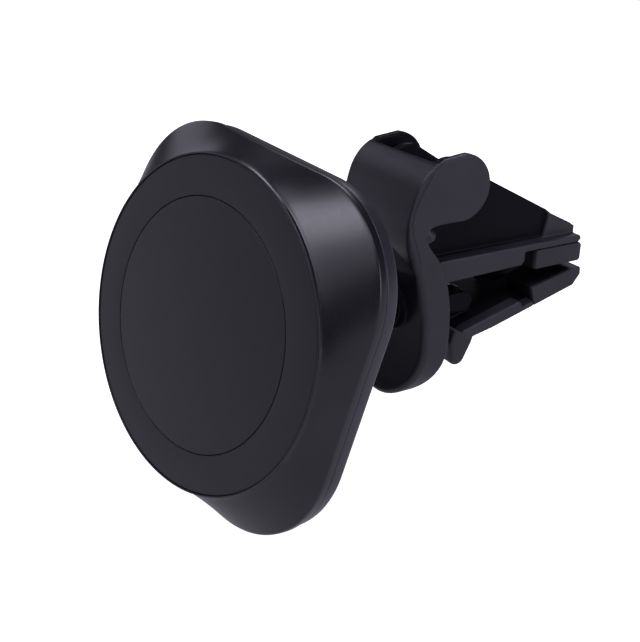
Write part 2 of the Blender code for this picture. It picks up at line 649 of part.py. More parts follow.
# ---- assembly --------------------------------------------------------------------------
def build():
    clear_scene()
    black_plastic = plain_material("black plastic", (0.018, 0.018, 0.021), 0.42)
    face_silicone = plain_material("face silicone", (0.03, 0.03, 0.034), 0.6)
    rubber = plain_material("black rubber", (0.022, 0.022, 0.024), 0.7)
    inner_plastic = plain_material("inner plastic", (0.05, 0.05, 0.055), 0.5)
    steel = plain_material("steel", (0.55, 0.55, 0.56), 0.35, 1.0)
    magnet = plain_material("nickel plate", (0.6, 0.59, 0.57), 0.25, 1.0)

    ball_center = (0, BALL_Y, BALL_Z)
    stud_frame = add_empty("stud_frame", ball_center)
    pan = add_empty("pan_frame", ball_center, (0, 0, math.radians(PAN_DEG)))
    tilt = add_empty("tilt_frame", rotation=(math.radians(TILT_DEG), 0, 0), parent=pan)
    head = add_empty("head_frame", rotation=(0, math.radians(SPIN_DEG), 0), parent=tilt)

    make_front_shell(black_plastic, head)
    make_face(face_silicone, face_silicone, head)
    make_magnets(magnet, inner_plastic, steel, head)
    make_rear_cover(black_plastic, head)
    make_socket(black_plastic, head)
    make_head_screws(steel, head)
    make_nut(black_plastic, head)
    make_cap("ball_liner", rubber, tilt, LINER_INNER, LINER_OUTER, 45)
    make_cap("ball_cup", inner_plastic, tilt, CUP_INNER, CUP_OUTER, 50)
    make_ball_stud(black_plastic, stud_frame)
    make_stud_screw(steel, stud_frame)

    make_clip_body(black_plastic)
    make_slot_bumper(rubber)
    make_lower_jaw(black_plastic)
    make_pads(rubber)
    make_jaw_pin(black_plastic)
    make_jaw_spring(steel)


build()
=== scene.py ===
import json
import math

import bmesh
import bpy
import numpy as np
from mathutils import Matrix, Vector


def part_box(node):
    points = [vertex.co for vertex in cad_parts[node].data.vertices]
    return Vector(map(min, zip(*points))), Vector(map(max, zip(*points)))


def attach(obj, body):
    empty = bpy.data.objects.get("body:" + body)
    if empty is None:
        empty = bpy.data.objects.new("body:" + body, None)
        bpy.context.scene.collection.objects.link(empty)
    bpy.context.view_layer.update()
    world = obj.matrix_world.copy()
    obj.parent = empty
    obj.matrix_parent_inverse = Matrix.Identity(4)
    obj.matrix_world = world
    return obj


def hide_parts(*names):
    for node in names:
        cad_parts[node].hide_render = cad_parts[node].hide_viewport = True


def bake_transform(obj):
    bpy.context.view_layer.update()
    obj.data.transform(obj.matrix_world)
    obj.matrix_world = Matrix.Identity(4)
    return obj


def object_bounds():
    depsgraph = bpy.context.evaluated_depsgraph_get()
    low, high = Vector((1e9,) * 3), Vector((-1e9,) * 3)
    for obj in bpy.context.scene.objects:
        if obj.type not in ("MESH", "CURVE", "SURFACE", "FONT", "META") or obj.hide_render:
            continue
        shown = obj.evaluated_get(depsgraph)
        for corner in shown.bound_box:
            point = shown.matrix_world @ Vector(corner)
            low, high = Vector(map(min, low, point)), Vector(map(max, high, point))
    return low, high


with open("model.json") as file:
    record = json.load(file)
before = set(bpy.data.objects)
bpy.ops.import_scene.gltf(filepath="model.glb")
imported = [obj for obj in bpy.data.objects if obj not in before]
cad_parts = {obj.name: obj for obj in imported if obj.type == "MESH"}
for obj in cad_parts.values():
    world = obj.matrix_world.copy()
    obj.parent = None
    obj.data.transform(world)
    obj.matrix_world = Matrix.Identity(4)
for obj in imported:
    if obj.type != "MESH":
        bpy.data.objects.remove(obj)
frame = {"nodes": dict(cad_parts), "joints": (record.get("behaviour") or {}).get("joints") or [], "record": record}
cad_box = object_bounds()

# Looks of the vent phone mount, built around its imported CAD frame.
# Shapes are drawn in millimetres and turned into metres when a mesh is made.
# The clip is drawn in the world's frame. The head is drawn in its own frame: origin at the ball's
# centre, +Y from the face towards the ball, +X and +Z along the sides of its rounded square.
# The stud and its screw are drawn about the ball's centre, in the world's directions.
MM = 0.001
JOINTS = {joint["name"]: joint for joint in frame["joints"]}


# ---- places read from the frame --------------------------------------------------------
def middle(node):
    low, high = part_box(node)
    return (low + high) / 2


def head_matrix():
    """The head's frame, from the spin axis and the place of the first cover screw."""
    ball = Vector(JOINTS["head_spin"]["pos_m"])
    back = Vector(JOINTS["head_spin"]["axis"]).normalized()
    corner = middle("cover_screw_1") - ball
    corner = (corner - back * corner.dot(back)).normalized()
    beside = back.cross(corner)
    x_axis = (corner + beside).normalized()
    z_axis = (corner - beside).normalized()
    matrix = Matrix((x_axis, back, z_axis)).transposed().to_4x4()
    matrix.translation = ball
    return matrix


def extent(node, matrix=Matrix.Identity(4)):
    """Lowest and highest corner of a CAD node in a frame, in millimetres."""
    inverse = matrix.inverted()
    points = np.array([inverse @ vert.co for vert in frame["nodes"][node].data.vertices]) / MM
    return points.min(0), points.max(0)


HEAD = head_matrix()
BALL = HEAD.translation / MM
SHELL_LOW, SHELL_HIGH = extent("front_shell", HEAD)
COVER_LOW, COVER_HIGH = extent("rear_cover", HEAD)
NUT_LOW, NUT_HIGH = extent("clamp_nut", HEAD)
STUD = Matrix.Translation(HEAD.translation)
STUD_FOOT = extent("ball_stud", STUD)[1][1]
CLIP_LOW, CLIP_HIGH = extent("clip_body")

# head, as depths behind the face's plane
FACE_Y = SHELL_LOW[1]
FACE_RADIUS = 29.9
FACE_LIP = 0.35
GROOVE_RADIUS = 22.5
APOTHEM = SHELL_HIGH[0]
CORNER = 19.4
LOFT_START, LOFT_END = 0.7, 6.3
SHELL_BACK = SHELL_HIGH[1] - FACE_Y
COVER_FRONT = COVER_LOW[1] - FACE_Y
COVER_BACK = COVER_HIGH[1] - FACE_Y
COVER_BAND = COVER_BACK - 2.4
COVER_APOTHEM = COVER_HIGH[0]
SOCKET_RADIUS = 12.5
HEAD_WALL, HEAD_EDGE = 2.0, 0.3
MIDDLE_FLAT = 0.5

# clip
CLIP_HALF = CLIP_HIGH[0]
LIP_CENTER_Z = -11.3
JAW_HALF = extent("lower_jaw")[1][0]
JAW_TIP_Y = extent("upper_pad_left")[1][1] - 0.8
PIN_Y, PIN_Z = JOINTS["jaw_hinge"]["pos_m"][1] / MM, JOINTS["jaw_hinge"]["pos_m"][2] / MM
PIN_RADIUS, PIN_BORE = 1.1, 1.2
FIELD_STEP = 0.21

# the clip's inner faces, smoother and with painted shade for the shadow that its ears and the head cast on them:
# where they start and how far they take to fade in
SKIN_BACK_Y = (-7.0, -6.0)
BODY_LOW_Z = (-10.0, -9.4)
EAR_LOW_Z = (14.0, 16.0)
EAR_FACE_STEP = 3.3
SKIN_FOOT_Z = (7.0, 21.0)
SKIN_MARGIN = (1.2, 0.5)
INNER_FADE = 0.4


# ---- mesh helpers ----------------------------------------------------------------------
def make_object(name, mesh, material, matrix=Matrix.Identity(4), sharp_deg=35):
    mesh.transform(Matrix.Diagonal((MM, MM, MM, 1)))
    mesh.transform(matrix)
    mesh.shade_smooth()
    if sharp_deg:
        mesh.set_sharp_from_angle(angle=math.radians(sharp_deg))
    mesh.materials.append(material)
    piece = bpy.data.objects.new(name, mesh)
    bpy.context.scene.collection.objects.link(piece)
    return piece


def add_piece(node, mesh, material, body, matrix=Matrix.Identity(4), sharp_deg=35):
    """The finished piece for one CAD node, riding on its body."""
    piece = make_object(f"{node}_skin", mesh, material, matrix, sharp_deg)
    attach(piece, body)
    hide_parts(node)


def add_field(node, block, solid, material, body):
    """The same, for a solid given as distances in a block."""
    add_piece(node, from_arrays(*block.surface(solid)), material, body, sharp_deg=0)


def from_bmesh(bm):
    bmesh.ops.recalc_face_normals(bm, faces=bm.faces)
    mesh = bpy.data.meshes.new("shape")
    bm.to_mesh(mesh)
    bm.free()
    return mesh


def from_arrays(vertices, faces):
    mesh = bpy.data.meshes.new("shape")
    mesh.from_pydata(vertices.tolist(), [], faces.tolist())
    mesh.update()
    return mesh


def rings_bmesh(rings, closed=False):
    """Bridge equal rings of points. A closed stack joins its last ring to its first."""
    bm = bmesh.new()
    loops = [[bm.verts.new(point) for point in ring] for ring in rings]
    pairs = list(zip(loops, loops[1:]))
    if closed:
        pairs.append((loops[-1], loops[0]))
    else:
        bm.faces.new(loops[0])
        bm.faces.new(reversed(loops[-1]))
    count = len(loops[0])
    for first, second in pairs:
        for i in range(count):
            j = (i + 1) % count
            bm.faces.new((first[i], second[i], second[j], first[j]))
    return bm


def turned(profile, closed=False, steps=144):
    """Turn (radius, y) points about the Y axis."""
    angles = [2 * math.pi * i / steps for i in range(steps)]
    rings = [[(radius * math.cos(a), y, radius * math.sin(a)) for a in angles]
             for radius, y in profile]
    return rings_bmesh(rings, closed)


def rounded(points, radius, steps=5, closed=True):
    """Round the corners of a 2D outline. radius is one number or one for each point."""
    count = len(points)
    radii = radius if isinstance(radius, (list, tuple)) else [radius] * count
    result = []
    for i, (point, corner_radius) in enumerate(zip(points, radii)):
        if not closed and i in (0, count - 1) or corner_radius <= 0:
            result.append(tuple(point))
            continue
        here = np.array(point, float)
        to_last = np.array(points[i - 1], float) - here
        to_next = np.array(points[(i + 1) % count], float) - here
        room = 0.45 * min(np.linalg.norm(to_last), np.linalg.norm(to_next))
        to_last /= np.linalg.norm(to_last)
        to_next /= np.linalg.norm(to_next)
        half = math.acos(max(-1, min(1, float(to_last @ to_next)))) / 2
        cut = min(corner_radius / math.tan(half), room)
        start, end = here + to_last * cut, here + to_next * cut
        for k in range(steps + 1):
            t = k / steps
            result.append(tuple((1 - t) ** 2 * start + 2 * t * (1 - t) * here + t ** 2 * end))
    return result


def arc(center, radius, start_deg, end_deg, steps):
    points = []
    for i in range(steps + 1):
        angle = math.radians(start_deg + (end_deg - start_deg) * i / steps)
        points.append((center[0] + radius * math.cos(angle), center[1] + radius * math.sin(angle)))
    return points


def quarter(steps):
    """Evenly spaced angles from 0 to a right angle."""
    return [math.pi / 2 * k / steps for k in range(steps + 1)]


def rectangle(low, high):
    """Outline of a box, from its lowest and highest corner."""
    return [(low[0], low[1]), (high[0], low[1]), (high[0], high[1]), (low[0], high[1])]


def smooth_path(points, steps):
    """Catmull-Rom curve through points of any dimension."""
    path = []
    last = len(points) - 1
    for i in range(last):
        before, start = points[max(i - 1, 0)], points[i]
        end, after = points[i + 1], points[min(i + 2, last)]
        for k in range(steps):
            t = k / steps
            path.append(tuple(
                0.5 * (2 * b + (c - a) * t + (2 * a - 5 * b + 4 * c - d) * t * t
                       + (3 * b - a - 3 * c + d) * t ** 3)
                for a, b, c, d in zip(before, start, end, after)))
    path.append(tuple(points[-1]))
    return path


def merged(parts):
    """Put separate closed shapes that don't touch into one mesh, for use as one cutter."""
    whole = bmesh.new()
    for part in parts:
        mesh = from_bmesh(part)
        whole.from_mesh(mesh)
        bpy.data.meshes.remove(mesh)
    return from_bmesh(whole)


def carved(mesh, cutters):
    """A mesh with closed shapes cut out of it."""
    body = bpy.data.objects.new("carved", mesh)
    tool = bpy.data.objects.new("cutter", merged(cutters))
    for part in (body, tool):
        bpy.context.scene.collection.objects.link(part)
    modifier = body.modifiers.new("cut", "BOOLEAN")
    modifier.operation, modifier.solver, modifier.object = "DIFFERENCE", "EXACT", tool
    evaluated = body.evaluated_get(bpy.context.evaluated_depsgraph_get())
    result = bpy.data.meshes.new_from_object(evaluated)
    bpy.data.objects.remove(body)
    bpy.data.objects.remove(tool)
    return result


def shifted(bm, x=0.0, y=0.0, z=0.0):
    bmesh.ops.translate(bm, vec=(x, y, z), verts=bm.verts)
    return bm


def across(outline, x_low, x_high):
    """Extrude a (y, z) outline along X."""
    return rings_bmesh([[(x, y, z) for y, z in outline] for x in (x_low, x_high)])


# ---- solids as distance fields ---------------------------------------------------------
class Block:
    """A box of sample points, spaced evenly, on which distances to shapes are worked out."""

    def __init__(self, low, high, step):
        self.low, self.step = np.array(low, float), step
        counts = np.ceil((np.array(high, float) - self.low) / step).astype(int) + 1
        axes = [self.low[i] + step * np.arange(counts[i]) for i in range(3)]
        self.x = axes[0][:, None, None]
        self.y = axes[1][None, :, None]
        self.z = axes[2][None, None, :]

    def polygon(self, outline):
        """Signed distance to a closed (y, z) outline, for the whole block: negative inside."""
        y, z = self.y[0], self.z[0]
        near = np.full((y.shape[0], z.shape[1]), np.inf)
        inside = np.zeros(near.shape, bool)
        same_place = 1e-12
        for (ay, az), (by, bz) in zip(outline, outline[1:] + outline[:1]):
            dy, dz = by - ay, bz - az
            length = dy * dy + dz * dz
            if length < same_place:
                continue
            t = np.clip(((y - ay) * dy + (z - az) * dz) / length, 0, 1)
            near = np.minimum(near, (y - ay - t * dy) ** 2 + (z - az - t * dz) ** 2)
            if az != bz:
                crosses = (az > z) != (bz > z)
                inside ^= crosses & (y < ay + (z - az) / dz * dy)
        distance = np.sqrt(near)
        return np.where(inside, -distance, distance)[None]

    def line(self, points):
        """Distance to an open (y, z) line, for the whole block."""
        y, z = self.y[0], self.z[0]
        near = np.full((y.shape[0], z.shape[1]), np.inf)
        for (ay, az), (by, bz) in zip(points, points[1:]):
            dy, dz = by - ay, bz - az
            t = np.clip(((y - ay) * dy + (z - az) * dz) / (dy * dy + dz * dz), 0, 1)
            near = np.minimum(near, np.hypot(y - ay - t * dy, z - az - t * dz))
        return near[None]

    def slab(self, low, high):
        """Distance to the pair of slabs low < |x| < high. low of None means one slab."""
        if low is None:
            return np.abs(self.x) - high
        return np.abs(np.abs(self.x) - (low + high) / 2) - (high - low) / 2

    def around_y(self, center_z, radius):
        return np.hypot(self.x, self.z - center_z) - radius

    def surface(self, field):
        """Surface nets: one vertex for each cell that the zero level passes through."""
        shape = np.array(field.shape)
        strides = np.array([shape[1] * shape[2], shape[2], 1])
        places, owners, quads = [], [], []
        for axis in range(3):
            start = field.take(np.arange(shape[axis] - 1), axis)
            end = field.take(np.arange(1, shape[axis]), axis)
            index = np.argwhere((start < 0) != (end < 0))
            values = start[tuple(index.T)], end[tuple(index.T)]
            point = index.astype(float)
            point[:, axis] += values[0] / (values[0] - values[1])
            flat = index @ strides
            j, k = strides[(axis + 1) % 3], strides[(axis + 2) % 3]
            around = np.stack((flat - j - k, flat - k, flat, flat - j), 1)
            places += [point] * 4
            owners += [around[:, i] for i in range(4)]
            quads.append(np.where((values[0] < 0)[:, None], around, around[:, ::-1]))
        places, owners = np.concatenate(places), np.concatenate(owners)
        cells, owner = np.unique(owners, return_inverse=True)
        count = np.bincount(owner)
        vertices = np.stack([np.bincount(owner, places[:, i]) / count for i in range(3)], 1)
        faces = np.searchsorted(cells, np.concatenate(quads))
        return vertices * self.step + self.low, faces


def both(a, b, radius=0.0):
    """Intersection of two solids, with its edge rounded."""
    if np.isscalar(radius) and not radius:
        return np.maximum(a, b)
    outside = np.sqrt(np.maximum(a + radius, 0) ** 2 + np.maximum(b + radius, 0) ** 2)
    return np.minimum(np.maximum(a + radius, b + radius), 0) + outside - radius


def either(a, b, radius=0.0):
    """Union of two solids, with a fillet in the corner between them."""
    return -both(-a, -b, radius)


def without(a, b, radius=0.0):
    return both(a, -b, radius)


# ---- materials -------------------------------------------------------------------------
class Nodes:
    """Short ways to add and join shader nodes."""

    def __init__(self, name):
        self.material = bpy.data.materials.new(name)
        self.material.use_nodes = True
        self.tree = self.material.node_tree
        self.shader = self.tree.nodes["Principled BSDF"]

    def add(self, kind, inputs=None, **settings):
        node = self.tree.nodes.new(kind)
        for key, value in settings.items():
            setattr(node, key, value)
        for key, value in (inputs or {}).items():
            self.join(value, node.inputs[key])
        return node

    def join(self, value, socket):
        if isinstance(value, bpy.types.NodeSocket):
            self.tree.links.new(value, socket)
        else:
            socket.default_value = value

    def noise(self, scale_mm, detail=2.0, stretch=(1, 1, 1), seed=0.0):
        """Noise whose features are about scale_mm across."""
        place = self.add("ShaderNodeTexCoord").outputs["Object"]
        scale = tuple(s / (scale_mm * MM) for s in stretch)
        mapping = self.add("ShaderNodeMapping", {"Vector": place, "Scale": scale,
                                                 "Location": (seed, seed * 1.7, -seed)})
        noise = self.add("ShaderNodeTexNoise", {"Vector": mapping.outputs[0], "Scale": 1.0,
                                                "Detail": detail})
        return noise.outputs["Fac"]

    def ramp(self, value, low, high, start=0.0, end=1.0):
        node = self.add("ShaderNodeMapRange", {"Value": value, "From Min": start, "From Max": end,
                                               "To Min": low, "To Max": high})
        return node.outputs["Result"]

    def mix(self, factor, first, second):
        node = self.add("ShaderNodeMix", data_type="RGBA")
        self.join(factor, node.inputs[0])
        self.join(first, node.inputs[6])
        self.join(second, node.inputs[7])
        return node.outputs[2]

    def fade(self, place, low, high, start_mm, end_mm):
        """A ramp over a stretch given in millimetres."""
        return self.ramp(place, low, high, start_mm * MM, end_mm * MM)

    def bump(self, height, distance_mm, strength=1.0, below=None):
        inputs = {"Height": height, "Distance": distance_mm * MM, "Strength": strength}
        if below is not None:
            inputs["Normal"] = below
        return self.add("ShaderNodeBump", inputs).outputs["Normal"]

    def math(self, operation, first, second=0.0):
        return self.add("ShaderNodeMath", {0: first, 1: second}, operation=operation).outputs[0]

    def product(self, first, *others):
        for other in others:
            first = self.math("MULTIPLY", first, other)
        return first

    def shaded_inner_faces(self, limit):
        """Mask of painted shade: 1 on what lies inside the clip's outer side faces, which its ears shade, and on
        its front skin's foot, which the head shades.
        """
        place = self.add("ShaderNodeTexCoord").outputs["Object"]
        axes = self.add("ShaderNodeSeparateXYZ", {"Vector": place}).outputs
        width = self.math("ABSOLUTE", axes["X"])
        behind = self.fade(axes["Y"], 0.0, 1.0, *SKIN_BACK_Y)
        above = self.fade(axes["Z"], 0.0, 1.0, *BODY_LOW_Z)
        to_ears = self.fade(axes["Z"], 0.0, EAR_FACE_STEP * MM, *EAR_LOW_Z)
        inside = self.fade(self.math("SUBTRACT", width, to_ears), 1.0, 0.0, limit,
                           limit + INNER_FADE)
        rear = self.product(inside, behind, above)
        under = self.math("MINIMUM", self.math("SUBTRACT", axes["Z"], LIP_CENTER_Z * MM), 0.0)
        squares = self.math("ADD", self.product(width, width), self.product(under, under))
        within = self.fade(self.math("SQRT", squares), 1.0, 0.0, CLIP_HALF - SKIN_MARGIN[0],
                           CLIP_HALF - SKIN_MARGIN[1])
        foot = self.fade(axes["Z"], 1.0, 0.0, *SKIN_FOOT_Z)
        front = self.product(within, foot, self.math("SUBTRACT", 1.0, behind))
        return self.math("MAXIMUM", rear, front)

    def worn_edges(self, radius_mm):
        """About 1 on edges, where handling polishes the plastic, and 0 on flats."""
        bevel = self.add("ShaderNodeBevel", {"Radius": radius_mm * MM}, samples=4)
        normal = self.add("ShaderNodeNewGeometry").outputs["Normal"]
        cosine = self.add("ShaderNodeVectorMath", {0: bevel.outputs[0], 1: normal},
                          operation="DOT_PRODUCT").outputs["Value"]
        full_wear = 0.86
        return self.ramp(cosine, 1.0, 0.0, full_wear, 1.0)


def shade(color, gain=1.0, lift=0.0):
    return (*[gain * channel + lift for channel in color], 1)


def moulded_plastic(name, color, roughness, grain_mm=0.32, grain_depth=0.012, inner_limit=0.0):
    """Moulded plastic: spark-eroded grain, slow tone changes and slightly worn edges.
    Closer to the middle plane than inner_limit (in mm) it is smoother, and darker with painted shade."""
    nodes = Nodes(name)
    cloudy = nodes.noise(9.0, 3.0, seed=2.0)
    grain = nodes.noise(grain_mm, 3.0, seed=5.0)
    tone = nodes.mix(nodes.ramp(cloudy, 0.0, 1.0, 0.3, 0.7), shade(color),
                     shade(color, 1.35, 0.002))
    edges = nodes.worn_edges(0.25)
    worn = shade(color, 1.9, 0.004)
    speckled = nodes.mix(nodes.ramp(grain, 0.0, 0.4, 0.45, 0.75), tone, worn)
    surface = nodes.mix(edges, speckled, worn)
    rough = nodes.ramp(grain, roughness - 0.03, roughness + 0.04, 0.3, 0.7)
    if inner_limit:
        inner = nodes.shaded_inner_faces(inner_limit)
        polished = 0.28
        # painted shade: the inner faces get a darker copy of the colour, standing in for the shadow of the ears
        # and the head
        surface = nodes.mix(inner, surface, shade(color, 0.6))
        rough = nodes.ramp(inner, rough, polished)
        nodes.join(nodes.ramp(inner, 0.5, 0.05), nodes.shader.inputs["Specular IOR Level"])
    nodes.join(surface, nodes.shader.inputs["Base Color"])
    nodes.join(rough, nodes.shader.inputs["Roughness"])
    coarse = nodes.bump(nodes.noise(1.4, 2.0, seed=8.0), 0.006, 0.6)
    nodes.join(nodes.bump(grain, grain_depth, 0.9, coarse), nodes.shader.inputs["Normal"])
    return nodes.material


def soft_silicone(name, color, roughness):
    """Silicone: smooth, with a faint bloom, fine pores and a few specks of dust."""
    nodes = Nodes(name)
    cloudy = nodes.noise(14.0, 2.0, seed=1.0)
    tone = nodes.mix(nodes.ramp(cloudy, 0.0, 1.0, 0.3, 0.7), shade(color), shade(color, 1.12))
    specks = nodes.ramp(nodes.noise(0.45, 1.0, seed=11.0), 0.0, 1.0, 0.80, 0.84)
    dust = shade(color, 3.0, 0.02)
    nodes.join(nodes.mix(specks, tone, dust), nodes.shader.inputs["Base Color"])
    pores = nodes.noise(0.22, 2.0, seed=4.0)
    nodes.join(nodes.ramp(pores, roughness - 0.04, roughness + 0.05, 0.3, 0.7),
               nodes.shader.inputs["Roughness"])
    nodes.join(nodes.bump(pores, 0.004, 0.8), nodes.shader.inputs["Normal"])
    nodes.shader.inputs["Sheen Weight"].default_value = 0.08
    return nodes.material


def plated_metal(name, color, roughness):
    """Plated steel, with fine turning marks and slight staining."""
    nodes = Nodes(name)
    stain = nodes.noise(2.5, 3.0, seed=3.0)
    tone = nodes.mix(nodes.ramp(stain, 0.0, 1.0, 0.4, 0.7), shade(color), shade(color, 0.75))
    nodes.join(tone, nodes.shader.inputs["Base Color"])
    marks = nodes.noise(0.15, 2.0, (1, 4, 1), seed=6.0)
    nodes.join(nodes.ramp(marks, roughness - 0.08, roughness + 0.1, 0.3, 0.7),
               nodes.shader.inputs["Roughness"])
    nodes.join(nodes.bump(marks, 0.003, 0.6), nodes.shader.inputs["Normal"])
    nodes.shader.inputs["Metallic"].default_value = 1.0
    return nodes.material


HEAD_PLASTIC = moulded_plastic("head_plastic", (0.0070, 0.0067, 0.0098), 0.31, grain_depth=0.006)
# The cover's colour is lighter than the head's: painted highlight, standing in for the light on its flange band
# and edges.
LIT_COVER_PLASTIC = moulded_plastic("lit_cover_plastic", (0.0240, 0.0232, 0.0290), 0.32)
DARK_PLASTIC = moulded_plastic("dark_plastic", (0.0030, 0.0029, 0.0036), 0.35)
# The clip's plastic and the pads' rubber carry painted shade on the clip's inner faces and on its front skin's
# foot.
CLIP_PLASTIC = moulded_plastic("clip_plastic", (0.0140, 0.0132, 0.0180), 0.48, inner_limit=8.2)
FACE_SILICONE = soft_silicone("face_silicone", (0.0085, 0.0082, 0.0110), 0.55)
PAD_RUBBER = moulded_plastic("pad_rubber", (0.0165, 0.0158, 0.0205), 0.60, 0.25, 0.010,
                             inner_limit=9.9)
INNER_PLASTIC = moulded_plastic("inner_plastic", (0.05, 0.05, 0.055), 0.5)
STEEL = plated_metal("steel", (0.56, 0.56, 0.57), 0.32)
MAGNET = plated_metal("magnet", (0.62, 0.60, 0.57), 0.25)


# ---- head ------------------------------------------------------------------------------
HEAD_STEPS = 192


def square_radius(angle, apothem, corner):
    """Polar radius of a rounded square at an angle."""
    fold = abs((angle + math.pi / 4) % (math.pi / 2) - math.pi / 4)
    inset = apothem - corner
    if apothem * math.tan(fold) <= inset:
        return apothem / math.cos(fold)
    along = inset * (math.cos(fold) + math.sin(fold))
    beside = inset * (math.cos(fold) - math.sin(fold))
    return along + math.sqrt(corner ** 2 - beside ** 2)


def head_ring(depth, radius, apothem=0.0, blend=0.0, corner=CORNER):
    """A ring between a circle (blend 0) and a rounded square (blend 1), at a depth."""
    ring = []
    for i in range(HEAD_STEPS):
        angle = 2 * math.pi * i / HEAD_STEPS
        size = (1 - blend) * radius
        if blend:
            size += blend * square_radius(angle, apothem, corner)
        ring.append((size * math.cos(angle), FACE_Y + depth, size * math.sin(angle)))
    return ring


def square_ring(depth, inset, apothem=APOTHEM):
    return head_ring(depth, 0, apothem - inset, 1, CORNER - 0.6 * inset)


def loft_blend(depth, softness=0.035):
    """0 on the circle, 1 on the square, eased over a short way at each end."""
    t = (depth - LOFT_START) / (LOFT_END - LOFT_START)
    low = 0.5 * (t + math.sqrt(t * t + softness ** 2))
    return 0.5 * (low + 1 - math.sqrt((low - 1) ** 2 + softness ** 2))


def loft_ring(depth, inset=0.0):
    return head_ring(depth, FACE_RADIUS - inset, APOTHEM - inset, loft_blend(depth),
                     CORNER - inset)


def make_front_shell():
    pocket = FACE_RADIUS - FACE_LIP
    floor, inner_floor = 1.75, 2.55
    straight = 0.9
    rings = [head_ring(floor, MIDDLE_FLAT), head_ring(floor, pocket)]
    for radius, depth in rounded([(pocket, 0.6), (pocket, 0.0), (FACE_RADIUS - 0.02, 0.0),
                                  (FACE_RADIUS, LOFT_START - 0.1)], 0.22, closed=False):
        rings.append(head_ring(depth, radius))
    steps = 40
    for i in range(steps + 1):
        depth = LOFT_START + (LOFT_END + straight - LOFT_START) * i / steps
        rings.append(loft_ring(depth))
    for angle in quarter(5):
        rings.append(square_ring(SHELL_BACK - HEAD_EDGE + HEAD_EDGE * math.sin(angle),
                                 HEAD_EDGE - HEAD_EDGE * math.cos(angle)))
    rings.append(square_ring(SHELL_BACK, HEAD_WALL))
    rings.append(loft_ring(LOFT_END, HEAD_WALL))
    rings.append(loft_ring(inner_floor + 0.6, HEAD_WALL))
    rings.append(head_ring(inner_floor, FACE_RADIUS - HEAD_WALL))
    rings.append(head_ring(inner_floor, MIDDLE_FLAT))
    add_piece("front_shell", from_bmesh(rings_bmesh(rings)), HEAD_PLASTIC, "head",
              HEAD)


def make_face():
    front, back = FACE_Y + 0.15, FACE_Y + 1.45
    groove, gap = 0.08, 0.07
    edge, rim_edge = 0.16, 0.3
    rim = GROOVE_RADIUS - groove
    disc = rounded([(rim, back), (rim, front), (MIDDLE_FLAT, front)], edge, closed=False)
    add_piece("face_disc", from_bmesh(turned(disc, False, HEAD_STEPS)), FACE_SILICONE, "head",
              HEAD)
    inner, outer = GROOVE_RADIUS + groove, FACE_RADIUS - FACE_LIP - gap
    ring = rounded([(inner, back), (inner, front), (outer, front), (outer, back)],
                   [0, edge, rim_edge, 0])
    add_piece("face_ring", from_bmesh(turned(ring, True, HEAD_STEPS)), FACE_SILICONE, "head",
              HEAD)


def screw_places():
    """Local (x, z) of the cover screws, in millimetres."""
    inverse = HEAD.inverted()
    places = [inverse @ middle(f"cover_screw_{i}") / MM for i in range(1, 5)]
    return [(place.x, place.z) for place in places]


def make_rear_cover():
    crown, inner_crown, rim = 7.0, 6.0, 2.6
    hole = SOCKET_RADIUS + 0.4
    rise = COVER_BACK - COVER_BAND
    rings = []
    for angle in reversed(quarter(5)):
        rings.append(square_ring(COVER_FRONT + HEAD_EDGE - HEAD_EDGE * math.sin(angle),
                                 HEAD_EDGE * (1 - math.cos(angle)), COVER_APOTHEM))
    for angle in quarter(14):
        rings.append(square_ring(COVER_BAND + rise * math.sin(angle),
                                 crown * (1 - math.cos(angle)), COVER_APOTHEM))
    rings += [head_ring(COVER_BACK, hole + 1.0), head_ring(COVER_BACK, hole + HEAD_EDGE)]
    rings += [head_ring(COVER_BACK - HEAD_EDGE, hole), head_ring(COVER_BACK - HEAD_WALL, hole)]
    rings += [square_ring(COVER_BACK - HEAD_WALL, inner_crown, COVER_APOTHEM),
              square_ring(COVER_FRONT, rim, COVER_APOTHEM)]
    shaft, head = 1.5, 2.7
    front, step = FACE_Y + COVER_FRONT, FACE_Y + COVER_BAND
    through = [(shaft, front - 1), (shaft, step), (head, step), (head, step + 4)]
    holes = [shifted(turned(through, steps=48), x, 0, z) for x, z in screw_places()]
    mesh = carved(from_bmesh(rings_bmesh(rings, closed=True)), holes)
    add_piece("rear_cover", mesh, LIT_COVER_PLASTIC, "head", HEAD)


# ---- ball joint ------------------------------------------------------------------------
def make_clamp_nut():
    ribs, per_rib = 24, 12
    steps = ribs * per_rib
    rib_depth, rib_fade = 0.55, 0.8
    radius, bore, lip = 15.4, SOCKET_RADIUS + 0.3, 9.4
    front, back = NUT_LOW[1], NUT_HIGH[1]

    def ring(y, size, relief=0.0):
        points = []
        for i in range(steps):
            angle = 2 * math.pi * i / steps
            wave = 0.5 - 0.5 * math.cos(ribs * angle)
            here = size - relief * wave ** 1.6
            points.append((here * math.cos(angle), y, here * math.sin(angle)))
        return points

    profile = rounded([(bore, front), (radius - 0.5, front), (radius, front + 0.8),
                       (radius, back - 2.2), (radius - 1.8, back), (10.2, back),
                       (lip, back - 0.8), (bore, back - 0.8)],
                      [0.2, 0.5, 0.6, 1.2, 0.8, 0.3, 0.2, 0], 6)
    rings = []
    for size, y in profile:
        from_ends = min(y - front - 0.7, back - 1.6 - y)
        relief = rib_depth * max(0.0, min(1.0, from_ends / rib_fade))
        rings.append(ring(y, size, relief if size > radius - 1.2 else 0.0))
    add_piece("clamp_nut", from_bmesh(rings_bmesh(rings, closed=True)), DARK_PLASTIC, "nut",
              HEAD)


